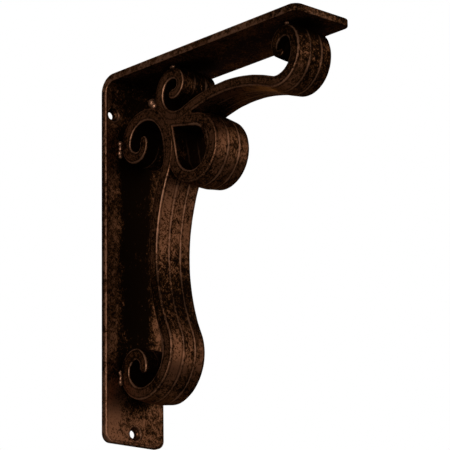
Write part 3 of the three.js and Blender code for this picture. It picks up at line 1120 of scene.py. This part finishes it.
def make_weld_finish():
    material, tree, shader = new_material("weld_metal")
    place = node(tree, "TexCoord").outputs["Object"]
    mottle = use_group(tree, mottle_group, {"Place": place, "Lay": place, "Amount": 0.6})
    brown = mixed(tree, mottle["Rubbed"], BROWN_COAT, BRIGHT_RUB)
    tree.links.new(brown, shader.inputs["Base Color"])
    tree.links.new(ramp(tree, mottle["Rubbed"], 0.0, 1.0, 0.55, 0.4), shader.inputs["Roughness"])
    shader.inputs["Metallic"].default_value = 0.85
    roughen(tree, shader, place, strength=0.3, depth=0.2)
    return material


weld_finish = make_weld_finish()

# How the finish, the painted light and shade on the near facet and the arrises change along
# each bar, from its start to its end, as pairs of a share of its run and an amount
LOWER_MARKS = {
    "wear_and_painted_light": [(0.0, 0.0), (0.08, -0.2), (0.12, 0.0), (0.15, 0.4), (0.2, 0.3), (0.225, -0.2),
             (0.255, 0.15), (0.3, 0.15), (0.33, -0.15), (0.38, -0.45), (0.44, -0.4), (0.48, -0.1),
             (0.51, 0.05), (0.62, 0.15), (0.72, 0.3), (0.82, 0.2), (0.9, -0.05), (1.0, 0.0)],
    # Painted light on the near facet, and from 0.66 to 0.75 of the run the loop's painted shadow on
    # it
    "facet_light_and_shade": [(0.2, 0.0), (0.235, 0.15), (0.28, 0.35), (0.32, 0.0), (0.46, -0.1),
                   (0.5, 0.35), (0.54, 0.15), (0.57, 0.35), (0.64, 0.35), (0.66, -0.8),
                   (0.75, -0.8)],
    "speckle": [(0.0, 0.2), (0.65, 0.2), (0.72, 0.9), (0.84, 0.7), (1.0, 0.4)],
    "keen_inner": [(0.0, 1.0), (0.2, 1.0), (0.33, 0.5), (0.4, 0.2), (0.7, 0.2), (0.78, 0.9),
                   (1.0, 1.0)],
    "keen_outer": [(0.0, 0.7), (0.15, 0.9), (0.24, 0.4), (0.45, 0.4), (0.56, 0.9), (0.66, 1.0),
                   (0.7, 0.2), (0.85, 0.2), (1.0, 0.5)],
}
UPPER_MARKS = {
    "wear_and_painted_light": [(0.0, 0.1), (0.2, 0.25), (0.35, 0.3), (0.46, 0.3), (0.5, 0.2), (0.66, 0.2),
             (0.74, -0.15), (0.8, -0.3), (1.0, -0.5)],
    "facet_light_and_shade": [(0.0, 0.0), (0.45, 0.15), (0.7, 0.2), (0.78, 0.25), (0.9, 0.2)],
    "speckle": [(0.0, 0.5), (0.2, 0.7), (0.46, 0.9), (0.5, 0.2), (1.0, 0.2)],
    "keen_inner": [(0.0, 1.0), (0.25, 0.9), (0.35, 0.3), (0.65, 0.3), (0.75, 0.6), (1.0, 0.8)],
    "keen_outer": [(0.0, 0.8), (0.15, 0.3), (0.4, 0.2), (0.6, 0.4), (0.72, 0.9), (1.0, 0.9)],
}
LOOP_MARKS = {
    "wear_and_painted_light": [(0.0, 0.4), (0.3, 0.1), (0.6, 0.1), (1.0, 0.4)],
    "facet_light_and_shade": [(0.0, 0.0), (0.4, 0.1), (0.6, 0.0), (1.0, 0.0)],
    "speckle": [(0.0, 0.9), (1.0, 0.9)],
    "keen_inner": [(0.0, 1.0), (0.35, 0.7), (0.6, 0.6), (1.0, 1.0)],
    "keen_outer": [(0.0, 0.1), (1.0, 0.1)],
}

bars = [flat_bar, lower_bar, upper_bar, loop_bar]
mark_bevelled(lower_bar, lower_line, LOWER_THICKNESS, LOWER_TIP_SHARES, -1, **LOWER_MARKS)
mark_bevelled(upper_bar, upper_line, UPPER_THICKNESS, UPPER_TIP_SHARES, -1, **UPPER_MARKS)
mark_bevelled(loop_bar, round_line, LOOP_THICKNESS, None, 1, **LOOP_MARKS)
mark_flat(flat_bar, flat_line)
mark_plain(seams, 0.25)
mark_open([*bars, seams])
mark_free([*bars, seams])

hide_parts("back_bar")
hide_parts("lower_scroll")
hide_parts("upper_scroll")
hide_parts("centre_loop")
body = next(iter(frame["bodies"]))
finishes = [
    (flat_patina_and_shadow, "flat_bar_iron", [flat_bar]),
    (scroll_patina_and_light, "scroll_iron", [lower_bar, upper_bar, loop_bar, seams]),
    (weld_finish, "scroll_iron", [*welds, spatter]),
]
smooth_below = math.radians(45)
for finish, slot, pieces in finishes:
    for piece in pieces:
        take_up(piece)
        bpy.ops.object.shade_smooth_by_angle(angle=smooth_below)
        piece.data.materials.clear()
        piece.data.materials.append(finish)
        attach(piece, body)

# The camera, at the photograph's place

CAMERA_PLACE = (-1022.71, -1190.43, -421.79)
CAMERA_AZIMUTH = -43.039
CAMERA_ELEVATION = -15.916
CAMERA_ROLL = -0.862
CAMERA_LENS = 191.1


def make_camera():
    azimuth = math.radians(CAMERA_AZIMUTH)
    elevation = math.radians(CAMERA_ELEVATION)
    back = Vector((math.sin(azimuth) * math.cos(elevation),
                   -math.cos(azimuth) * math.cos(elevation), math.sin(elevation)))
    right = (-back).cross(Vector((0, 0, 1))).normalized()
    up = back.cross(right)
    roll = math.radians(CAMERA_ROLL)
    rolled_right = right * math.cos(roll) + up * math.sin(roll)
    rolled_up = up * math.cos(roll) - right * math.sin(roll)
    data = bpy.data.cameras.new("camera")
    data.lens = CAMERA_LENS
    data.sensor_width = 36.0
    camera = bpy.data.objects.new("camera", data)
    bpy.context.scene.collection.objects.link(camera)
    turn = Matrix((rolled_right, rolled_up, back)).transposed()
    camera.matrix_world = Matrix.Translation(Vector(CAMERA_PLACE) * MM) @ turn.to_4x4()
    bpy.context.scene.camera = camera


make_camera()


# The floor and the studio light, in metres

FLOOR_SIZE = 14.0
FLOOR_HEIGHT = -2.2


def shown_apart(tree, lit, seen):
    """Shows the camera one thing and lights the bracket with another."""
    path = node(tree, "LightPath")
    return node(tree, "MixShader", {0: path.outputs["Is Camera Ray"], 1: lit, 2: seen}).outputs[0]


def make_floor_finish():
    """Plain and pale: evenly bright to the camera, and it throws soft light back."""
    material, tree, shader = new_material("pale_floor")
    shader.inputs["Base Color"].default_value = (0.8, 0.8, 0.8, 1.0)
    shader.inputs["Roughness"].default_value = 0.9
    seen = node(tree, "Emission", {"Color": (0.85, 0.85, 0.85, 1.0), "Strength": 1.0})
    surface = shown_apart(tree, shader.outputs[0], seen.outputs[0])
    tree.links.new(surface, tree.nodes["Material Output"].inputs["Surface"])
    return material


def make_floor():
    deselect_everything()
    bpy.ops.mesh.primitive_plane_add(size=FLOOR_SIZE, location=(0, 0, FLOOR_HEIGHT))
    floor = bpy.context.object
    floor.name = "floor"
    floor.data.materials.append(make_floor_finish())


def soft_light(name, place, aim, size, power):
    data = bpy.data.lights.new(name, "AREA")
    data.shape = "RECTANGLE"
    data.size, data.size_y = size
    data.energy = power
    light = bpy.data.objects.new(name, data)
    bpy.context.scene.collection.objects.link(light)
    light.location = place
    light.rotation_euler = (Vector(aim) - Vector(place)).to_track_quat("-Z", "Y").to_euler()
    light.visible_camera = False


def make_world():
    """White to the camera, and a faint light from all round on the bracket."""
    world = bpy.data.worlds.new("studio")
    bpy.context.scene.world = world
    world.use_nodes = True
    tree = world.node_tree
    tree.nodes.clear()
    seen = node(tree, "Background", {"Color": (1.0, 1.0, 1.0, 1.0), "Strength": 1.0})
    cast = node(tree, "Background", {"Color": (1.0, 0.985, 0.97, 1.0), "Strength": 0.04})
    surface = shown_apart(tree, cast.outputs[0], seen.outputs[0])
    output = tree.nodes.new("ShaderNodeOutputWorld")
    tree.links.new(surface, output.inputs["Surface"])


make_floor()
make_world()
aim = (0.0, -0.08, 0.0)
soft_light("key_light", (0.75, -1.3, 0.35), aim, (1.5, 1.7), 7.0)
soft_light("side_light", (-1.5, -0.7, 0.1), aim, (1.1, 1.1), 13.5)
soft_light("top_light", (0.3, 0.6, 1.2), aim, (0.8, 0.8), 2.5)
soft_light("back_light", (0.5, 1.6, 0.3), aim, (1.2, 1.2), 9.0)
bpy.context.scene.view_settings.view_transform = "Standard"
